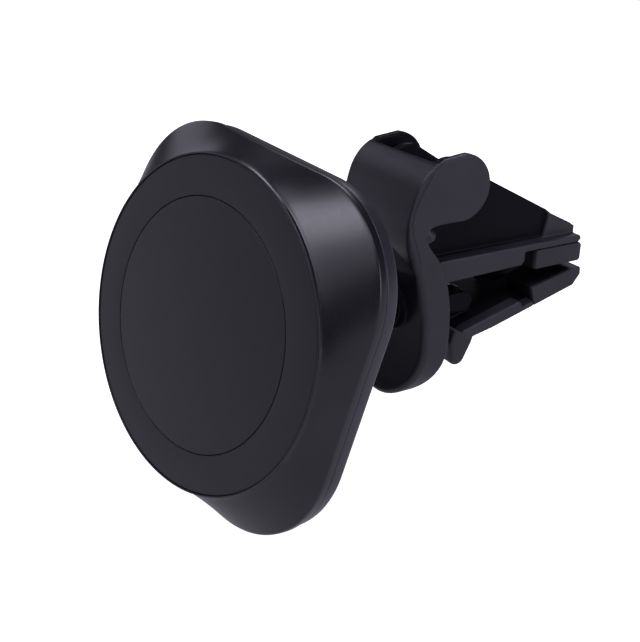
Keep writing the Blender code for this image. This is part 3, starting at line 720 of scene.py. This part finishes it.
def make_ball_stud():
    ball, neck, flange, bore = 8.5, 3.5, 5.6, 1.8
    first, steps = 0.02, 32
    last = math.pi - math.asin(neck / ball)
    profile = []
    for i in range(steps + 1):
        angle = first + (last - first) * i / steps
        profile.append((ball * math.sin(angle), -ball * math.cos(angle)))
    foot = STUD_FOOT
    shaft = [(neck, foot - 3.4), (neck + 0.8, foot - 1.9), (flange - 0.1, foot - 1.5),
             (flange, foot), (bore, foot), (bore, foot - 9.5)]
    profile += rounded([profile[-1]] + shaft, [0, 0.8, 0.9, 0.4, 0.15, 0.1, 0], 6, closed=False)[1:]
    add_piece("ball_stud", from_bmesh(turned(profile, steps=96)), DARK_PLASTIC, "clip",
              STUD)


# ---- clip ------------------------------------------------------------------------------
LOBE_Y, LOBE_Z, LOBE_RADIUS = -0.5, 21.7, 6.5
EAR_THICKNESS = 1.9
FIN_OUTER, FIN_INNER = 7.9, 6.1
RAIL_TOP, RAIL_BOTTOM = 7.4, 2.6
FLANGE = 1.5
NOTCH_START, PAD_START = 17.5, 20.5
JAW_SPLIT, SPLIT_START = 1.8, 13.0
GRIP_Z = 1.6
SEAT_Y, SEAT_RADIUS, SEAT_HEIGHT, RECESS_RADIUS = -9.4, 6.0, 3.0, 14.4
NUB_Y, NUB_Z, NUB_RADIUS = -7.0, 13.3, 1.4
SCREW_BORE, SCREW_ROOM, SCREW_ROOM_Y = 1.8, 3.3, -5.0
POCKET, POCKET_HALF = ((-5.4, -17.4), (2.0, -9.4)), 8.2
BUMPER_ROOM, BUMPER_HALF = ((-2.6, -1.6), (0.5, 1.6)), 8.3
LUG_RADIUS, LUG_INNER, LUG_OUTER = 2.3, 5.6, 7.8
KNUCKLE_INNER, KNUCKLE_OUTER = 2.7, 5.3
SLOPE = math.radians(15)
LOWER_TIP, LOWER_FLANGE, LOWER_SPLIT, LOWER_LEDGE = 27.9, 1.1, 18.5, 14.9
LOWER_TOP, LOWER_BOTTOM = PIN_Z - 4.1, PIN_Z - 6.9
WINDOW, WINDOW_HALF = ((-0.4, -13.0), (5.3, -5.0)), 2.5
TAB_HALF = 5.5
FRONT_CURVE = [(-6.2, 26.9), (-8.3, 25.4), (-10.2, 22.9), (-11.5, 19.2), (-12.1, 15.5),
               (-11.7, 11.6), (-10.6, 8.4), (-9.3, 4.6), (-8.2, -0.6), (-7.5, -5.2),
               (-7.6, -10.7), (-8.3, -15.0), (-9.5, -18.7), (-10.6, -21.2), (-11.9, -24.2)]
REAR_CURVE = [(-5.3, 25.1), (-6.7, 23.7), (-7.9, 21.7), (-8.7, 18.7), (-8.9, 15.3),
              (-7.2, 11.6), (-4.7, 8.2), (-2.9, 4.6), (-1.7, -0.6), (-1.3, -5.2),
              (-1.5, -10.7), (-2.5, -15.5), (-4.5, -19.7), (-7.3, -22.8), (-10.0, -25.2)]
SEAM = [(-5.2, 27.3), (-5.8, 26.6), (-7.5, 25.0), (-9.1, 22.5), (-10.3, 20.4), (-11.1, 18.6),
        (-11.5, 16.4), (-11.2, 14.0), (-10.4, 11.9), (-9.7, 9.8), (-9.1, 7.2)]


def in_front_or_behind(curve, far_y):
    """Closed outline from a curve down the frame to a line of constant y."""
    path = smooth_path(curve, 6)
    past = 12
    top_y, top_z = path[0]
    low_y, low_z = path[-1]
    above = [(far_y, top_z + past), (top_y + past, top_z + past)]
    return above + path + [(low_y, low_z - past), (far_y, low_z - past)]


def frame_band(block):
    """The S-shaped front skin: crisp along its upper edges, rounder towards the tongue."""
    front = block.polygon(in_front_or_behind(FRONT_CURVE, 40))
    rear = block.polygon(in_front_or_behind(REAR_CURVE, -40))
    plan = np.where(block.z > LIP_CENTER_Z, np.abs(block.x) - CLIP_HALF,
                    np.hypot(block.x, block.z - LIP_CENTER_Z) - CLIP_HALF)
    band = both(front, plan, np.interp(block.z, (10.0, 19.0), (1.4, 0.45)))
    band = both(band, rear, 0.35)
    top = (block.y + 6.0) * 0.5 + (block.z - 26.9) * 0.87
    return both(band, top, 0.25)


def ear_outline():
    return ([(-6.7, 26.2), (-5.0, 27.5)] + arc((LOBE_Y, LOBE_Z), LOBE_RADIUS, 82, -80, 40)
            + [(-2.5, 15.3), (-5.6, 15.2), (-6.9, 14.9), (-7.5, 14.2), (-7.7, 13.2), (-7.2, 11.4)]
            + [(-10.4, 11.6), (-11.4, 15.0), (-11.2, 18.3), (-9.9, 22.0), (-8.2, 24.6)])


def fin_outline():
    root = arc((LOBE_Y, LOBE_Z), 4.9, 150, 70, 20)
    return ([(-9.0, 10.0), (-7.0, 15.0)] + root
            + [(9.5, 21.1), (24.7, 13.1), (26.2, 12.0), (JAW_TIP_Y - 0.3, 9.1)]
            + [(JAW_TIP_Y, 8.6), (JAW_TIP_Y, RAIL_TOP - 0.5), (-2.5, RAIL_TOP - 0.5)])


def rail_outline():
    flange_bottom = RAIL_TOP - FLANGE
    return [(-5.0, RAIL_TOP), (-4.0, RAIL_BOTTOM), (NOTCH_START - 0.8, RAIL_BOTTOM + 0.6),
            (NOTCH_START, RAIL_BOTTOM + 1.4), (NOTCH_START, flange_bottom),
            (JAW_TIP_Y - 0.6, flange_bottom), (JAW_TIP_Y, flange_bottom + 0.5),
            (JAW_TIP_Y, RAIL_TOP - 0.5), (JAW_TIP_Y - 0.5, RAIL_TOP)]


def tip_block_outline():
    """Thicker, flush end of each fin."""
    return [(24.6, 12.6), (26.2, 11.8), (JAW_TIP_Y - 0.3, 8.9), (JAW_TIP_Y - 0.3, RAIL_TOP - 0.5),
            (23.4, RAIL_TOP - 0.5)]


def lug_outline():
    return (arc((PIN_Y, PIN_Z), LUG_RADIUS, 90, -100, 24)
            + [(-1.9, -4.9), (-1.9, PIN_Z + LUG_RADIUS)])


def pin_bore(block):
    return block.polygon(arc((PIN_Y, PIN_Z), PIN_BORE, 0, 350, 36))


def make_clip_body():
    block = Block(CLIP_LOW - 1.0, CLIP_HIGH + 1.0, FIELD_STEP)
    solid = frame_band(block)
    recess = both(block.around_y(BALL.z, RECESS_RADIUS), block.y - SEAT_Y)
    solid = without(solid, recess, 0.25)
    half = SEAT_HEIGHT / 2
    seat = both(block.around_y(BALL.z, SEAT_RADIUS), np.abs(block.y - SEAT_Y - half) - half, 0.25)
    solid = either(solid, seat, 0.5)
    ears = both(block.polygon(ear_outline()), block.slab(CLIP_HALF - EAR_THICKNESS, CLIP_HALF),
                0.35)
    solid = either(solid, ears)
    rails = both(block.polygon(rail_outline()), block.slab(None, JAW_HALF), 0.3)
    fins = both(block.polygon(fin_outline()), block.slab(FIN_INNER, FIN_OUTER), 0.3)
    tips = both(block.polygon(tip_block_outline()), block.slab(FIN_INNER, FIN_OUTER + 1.0), 0.3)
    lugs = both(block.polygon(lug_outline()), block.slab(LUG_INNER, LUG_OUTER), 0.3)
    for part, fillet in ((rails, 0.35), (fins, 0.5), (tips, 0.2), (lugs, 0.3)):
        solid = either(solid, part, fillet)
    nub = np.sqrt((np.abs(block.x) - CLIP_HALF + 1.0) ** 2 + (block.y - NUB_Y) ** 2
                  + (block.z - NUB_Z) ** 2) - NUB_RADIUS
    solid = either(solid, nub, 0.3)
    gap = both(block.slab(None, JAW_SPLIT), np.maximum(SPLIT_START - block.y, -block.z), 0.2)
    solid = without(solid, gap, 0.25)
    pocket = both(block.polygon(rectangle(*POCKET)), block.slab(None, POCKET_HALF))
    solid = without(solid, pocket, 0.35)
    head_room = both(block.around_y(BALL.z, SCREW_ROOM), SCREW_ROOM_Y - block.y)
    screw_hole = np.minimum(block.around_y(BALL.z, SCREW_BORE) + 0 * block.y, head_room)
    solid = without(solid, screw_hole, 0.12)
    bumper_room = both(block.polygon(rectangle(*BUMPER_ROOM)), block.slab(None, BUMPER_HALF))
    solid = without(solid, bumper_room, 0.12)
    bore = both(pin_bore(block), block.slab(None, LUG_OUTER - 0.6))
    solid = without(solid, bore, 0.12)
    seam = np.hypot(np.abs(block.x) - CLIP_HALF, block.line(SEAM)) - 0.24
    solid = without(solid, seam, 0.05)
    add_field("clip_body", block, solid, CLIP_PLASTIC, "clip")


# ---- lower jaw -------------------------------------------------------------------------
def sloped(points):
    """Turn a level (y, z) outline up by the closed jaw's slope, about the pin."""
    turned_points = []
    for y, z in points:
        dy, dz = y - PIN_Y, z - PIN_Z
        turned_points.append((PIN_Y + dy * math.cos(SLOPE) - dz * math.sin(SLOPE),
                              PIN_Z + dy * math.sin(SLOPE) + dz * math.cos(SLOPE)))
    return turned_points


def lower_outline():
    top, bottom = LOWER_TOP, LOWER_BOTTOM
    flange_top = bottom + LOWER_FLANGE
    notch, tip = PIN_Y + 12.0, PIN_Y + LOWER_TIP
    return sloped([(PIN_Y - 3.6, top - 0.3), (PIN_Y - 2.6, top), (notch - 0.6, top),
                   (notch, top - 0.6), (notch, flange_top), (tip - 0.6, flange_top),
                   (tip, flange_top - 0.4), (tip - 2.2, bottom), (PIN_Y + 4.0, bottom),
                   (PIN_Y - 2.4, bottom + 0.4)])


def tab_outline():
    tip = arc((6.4, -17.6), 2.0, -30, -150, 10)
    return [(5.6, -8.6), (11.2, -8.2), (11.0, -11.8), (10.0, -14.9)] + tip + [(4.2, -14.0)]


def make_lower_jaw():
    low, high = extent("lower_jaw")
    block = Block(low - 0.8, high + 0.8, FIELD_STEP)
    solid = both(block.polygon(lower_outline()), block.slab(None, JAW_HALF), 0.3)
    past_tip = (60, PIN_Z)
    split = sloped(rectangle((PIN_Y + LOWER_SPLIT, PIN_Z - 12), past_tip))
    solid = without(solid, both(block.polygon(split), block.slab(None, JAW_SPLIT)), 0.2)
    ledge = sloped(rectangle((PIN_Y + LOWER_LEDGE, PIN_Z - 12), past_tip))
    solid = without(solid, both(block.polygon(ledge), JAW_HALF - 0.6 - np.abs(block.x)), 0.1)
    window = both(block.polygon(rectangle(*WINDOW)), block.slab(None, WINDOW_HALF), 0.2)
    solid = without(solid, window, 0.2)
    tab = both(block.polygon(tab_outline()), block.slab(None, TAB_HALF), 0.7)
    solid = either(solid, tab, 0.5)
    knuckle = arc((PIN_Y, PIN_Z), LUG_RADIUS, -20, 200, 24)
    knuckle += [(PIN_Y - 1.6, -8.6), (PIN_Y + 3.6, -7.4)]
    knuckles = both(block.polygon(knuckle), block.slab(KNUCKLE_INNER, KNUCKLE_OUTER), 0.25)
    solid = either(solid, knuckles, 0.3)
    solid = without(solid, pin_bore(block) + 0 * block.x, 0.12)
    add_field("lower_jaw", block, solid, CLIP_PLASTIC, "jaw")


# ---- rubber pieces ---------------------------------------------------------------------
def make_pads():
    inner, outer = JAW_SPLIT + 0.2, JAW_HALF
    gap = 0.12
    tip, top = JAW_TIP_Y + 0.4, RAIL_TOP - FLANGE - gap
    upper = [(PAD_START, GRIP_Z), (tip - 0.5, GRIP_Z), (tip, GRIP_Z + 0.5), (tip, top - 0.6),
             (tip - 0.6, top), (PAD_START, top)]
    base, grip = LOWER_BOTTOM + LOWER_FLANGE + gap, PIN_Z - 2.6
    start, end = PIN_Y + 15.0, PIN_Y + LOWER_TIP + 0.3
    nose = [(end, grip - 1.1), (end - 0.5, grip - 0.6), (start, grip)]
    lower = sloped([(start, base), (end - 0.9, base), (end - 0.2, base + 0.6)] + nose)
    skirt = sloped([(start, LOWER_BOTTOM), (end - 2.5, LOWER_BOTTOM), (end - 0.3, base + 0.5)]
                   + nose)
    for label, side in (("right", 1), ("left", -1)):
        for level, outline, body in (("upper", upper, "clip"), ("lower", lower, "jaw")):
            node = f"{level}_pad_{label}"
            low, high = extent(node)
            block = Block(low - 1.4, high + 1.4, 0.2)
            middle_x, half = side * (inner + outer) / 2, (outer - inner) / 2
            solid = both(block.polygon(outline), np.abs(block.x - middle_x) - half, 0.35)
            if level == "lower":
                wall = np.abs(block.x - side * (outer - 0.25)) - 0.25
                solid = either(solid, both(block.polygon(skirt), wall, 0.2), 0.1)
            add_field(node, block, solid, PAD_RUBBER, body)


def make_slot_bumper():
    low, high = extent("slot_bumper")
    block = Block(low - 0.6, high + 0.6, 0.15)
    solid = both(block.polygon(rectangle(low[1:], high[1:])), block.slab(None, high[0]), 0.35)
    add_field("slot_bumper", block, solid, PAD_RUBBER, "clip")


# ---- metal and small pieces ------------------------------------------------------------
def make_jaw_pin():
    half, flat, edge = LUG_OUTER - 0.8, 0.3, 0.25
    profile = rounded([(flat, -half), (PIN_RADIUS, -half), (PIN_RADIUS, half), (flat, half)],
                      [0, edge, edge, 0], 4)
    pin = turned(profile, steps=48)
    bmesh.ops.rotate(pin, cent=(0, 0, 0), verts=pin.verts,
                     matrix=Matrix.Rotation(math.pi / 2, 3, "Z"))
    add_piece("jaw_pin", from_bmesh(shifted(pin, 0, PIN_Y, PIN_Z)), DARK_PLASTIC, "clip")


def make_jaw_spring():
    """The jaw's spring, coiled about the pin, from the frame at one end to the jaw at the other."""
    wire, coil, turns, sides = 0.35, 1.75, 3, 14
    pitch = 2 * wire + 0.12
    half = turns * pitch / 2
    steps = 36
    foot_z = PIN_Z - 5.6
    path = [(-half, PIN_Y - coil - 2.3, foot_z)]
    for i in range(turns * steps + 1):
        angle = math.pi + 2 * math.pi * i / steps
        path.append((-half + pitch * i / steps, PIN_Y + coil * math.cos(angle),
                     PIN_Z + coil * math.sin(angle)))
    path.append((half, PIN_Y - coil + 0.9, foot_z))
    points = [Vector(point) for point in path]
    rings = []
    for i, point in enumerate(points):
        ahead = (points[min(i + 1, len(points) - 1)] - points[max(i - 1, 0)]).normalized()
        beside = (Vector((1, 0, 0)) - ahead * ahead.x).normalized()
        above = ahead.cross(beside)
        angles = [2 * math.pi * k / sides for k in range(sides)]
        rings.append([point + wire * (math.cos(a) * beside + math.sin(a) * above) for a in angles])
    spring = make_object("jaw_spring_skin", from_bmesh(rings_bmesh(rings)), STEEL)
    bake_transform(spring)
    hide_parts("jaw_spring")


def make_cover_screws():
    shaft, head, top = 1.1, 2.35, 2.2
    arm, arm_half, arm_depth = 1.35, 0.28, 0.9
    for i in range(1, 5):
        node = f"cover_screw_{i}"
        low, high = extent(node, HEAD)
        x, z = (low[0] + high[0]) / 2, (low[2] + high[2]) / 2
        back = high[1]
        profile = rounded([(shaft, back - 4.0), (shaft, back - 1.0), (head, back - 1.0),
                           (top, back), (0.2, back)], [0, 0.1, 0.15, 0.45, 0], 5)
        mesh = from_bmesh(turned(profile, steps=64))
        for length, width in ((arm, arm_half), (arm_half, arm)):
            outline = rectangle((back - arm_depth, -width), (back + 1, width))
            mesh = carved(mesh, [across(outline, -length, length)])
        mesh.transform(Matrix.Translation((x, 0, z)))
        add_piece(node, mesh, STEEL, "head", HEAD)


def make_stud_screw():
    radius, back, _ = extent("stud_screw", STUD)[1]
    shaft, hexagon, head_height, hexagon_depth = 1.5, 1.5, 1.7, 1.1
    under = back - head_height
    profile = rounded([(shaft, back - 6.0), (shaft, under), (radius, under), (radius, back),
                       (0.2, back)], [0, 0.1, 0.1, 0.3, 0], 4)
    mesh = carved(from_bmesh(turned(profile, steps=64)),
                  [turned([(hexagon, back - hexagon_depth), (hexagon, back + 1)], steps=6)])
    add_piece("stud_screw", mesh, STEEL, "clip", STUD)


# ---- carried-over CAD nodes ------------------------------------------------------------
def paint_frame():
    finishes = {"black_plastic": HEAD_PLASTIC, "face_silicone": FACE_SILICONE,
                "rubber": PAD_RUBBER, "inner_plastic": INNER_PLASTIC, "steel": STEEL,
                "magnet": MAGNET}
    for part in frame["record"]["subparts"]:
        node = frame["nodes"][part["node"]]
        node.data.materials.clear()
        node.data.materials.append(finishes[part["material_slot"]])


# ---- stage -----------------------------------------------------------------------------
CAMERA_OFFSET = Vector((138.02, -67.56, 67.90))
CAMERA_AZIMUTH, CAMERA_ELEVATION = 62.0, 24.0
CAMERA_LENS = 48.53
LAMP_SIZE, LAMP_DISTANCE = 0.36, 0.8
LAMP_COLOR = (1.0, 0.97, 1.15)
FLOOR_GLOW, FLOOR_SEEN = 0.44, 0.96
WORLD_GLOW, WORLD_SEEN = 0.02, 1.0
# name, azimuth and elevation in degrees, watts
LAMPS = [("highlight", 20, 60, 2.2), ("top", 0, 85, 0.4), ("camera_side", 45, 42, 0.35),
         ("right", 90, 60, 0.9), ("right_rear", 118, 15, 1.2), ("front", 320, 8, 0.20),
         ("left_front", 305, 42, 0.32), ("left", 275, 25, 0.25), ("back", 225, 42, 1.1)]


def direction(azimuth, elevation):
    """Unit vector away from the object; azimuth 0 is in front of it and 90 on its right."""
    turn, lift = math.radians(azimuth), math.radians(elevation)
    return Vector((math.sin(turn) * math.cos(lift), -math.cos(turn) * math.cos(lift),
                   math.sin(lift)))


def make_floor():
    """A pale paper floor below the object. The camera sees it nearly as white as the
    surroundings; the light that it gives the object is dimmer."""
    floor_z = cad_box[0].z - 0.004
    reach = 3.0
    corners = [(x, y, floor_z) for x, y in rectangle((-reach, -reach), (reach, reach))]
    mesh = bpy.data.meshes.new("floor")
    mesh.from_pydata(corners, [], [(0, 1, 2, 3)])
    nodes = Nodes("floor_paper")
    tone = nodes.mix(nodes.noise(300.0), (0.86, 0.86, 0.86, 1), (0.90, 0.90, 0.90, 1))
    seen = nodes.add("ShaderNodeLightPath").outputs["Is Camera Ray"]
    nodes.join(nodes.mix(seen, (0.08, 0.08, 0.08, 1), tone), nodes.shader.inputs["Base Color"])
    nodes.shader.inputs["Roughness"].default_value = 0.9
    nodes.join(nodes.mix(seen, (*LAMP_COLOR, 1), (1, 1, 1, 1)),
               nodes.shader.inputs["Emission Color"])
    nodes.join(nodes.ramp(seen, FLOOR_GLOW, FLOOR_SEEN), nodes.shader.inputs["Emission Strength"])
    mesh.materials.append(nodes.material)
    floor = bpy.data.objects.new("floor", mesh)
    bpy.context.scene.collection.objects.link(floor)


def make_lamps():
    """Soft round lamps around the object, all aimed at its middle."""
    for name, azimuth, elevation, watts in LAMPS:
        away = direction(azimuth, elevation)
        light = bpy.data.lights.new(name, "AREA")
        light.energy = watts
        light.shape = "DISK"
        light.size = LAMP_SIZE
        light.color = LAMP_COLOR
        lamp = bpy.data.objects.new(name, light)
        lamp.location = (cad_box[0] + cad_box[1]) / 2 + away * LAMP_DISTANCE
        lamp.rotation_euler = (-away).to_track_quat("-Z", "Y").to_euler()
        bpy.context.scene.collection.objects.link(lamp)


def make_world():
    """White where the camera looks at it, and nearly no light from it on the object."""
    world = bpy.data.worlds.new("studio")
    world.use_nodes = True
    tree = world.node_tree
    background = tree.nodes["Background"]
    background.inputs["Color"].default_value = (1.0, 1.0, 1.0, 1)
    seen = tree.nodes.new("ShaderNodeLightPath")
    level = tree.nodes.new("ShaderNodeMapRange")
    level.inputs["To Min"].default_value = WORLD_GLOW
    level.inputs["To Max"].default_value = WORLD_SEEN
    tree.links.new(seen.outputs["Is Camera Ray"], level.inputs["Value"])
    tree.links.new(level.outputs["Result"], background.inputs["Strength"])
    bpy.context.scene.world = world
    bpy.context.scene.view_settings.view_transform = "Standard"


def make_camera():
    back = direction(CAMERA_AZIMUTH, CAMERA_ELEVATION)
    lens = bpy.data.cameras.new("camera")
    lens.lens, lens.sensor_width = CAMERA_LENS, 36.0
    lens.clip_start, lens.clip_end = 0.01, 20.0
    camera = bpy.data.objects.new("camera", lens)
    camera.rotation_mode = "QUATERNION"
    camera.rotation_quaternion = (-back).to_track_quat("-Z", "Y")
    camera.location = (BALL + CAMERA_OFFSET) * MM
    bpy.context.scene.collection.objects.link(camera)
    bpy.context.scene.camera = camera


paint_frame()
make_front_shell()
make_face()
make_rear_cover()
make_clamp_nut()
make_ball_stud()
make_cover_screws()
make_stud_screw()
make_clip_body()
make_lower_jaw()
make_pads()
make_slot_bumper()
make_jaw_pin()
make_jaw_spring()
make_floor()
make_lamps()
make_world()
make_camera()
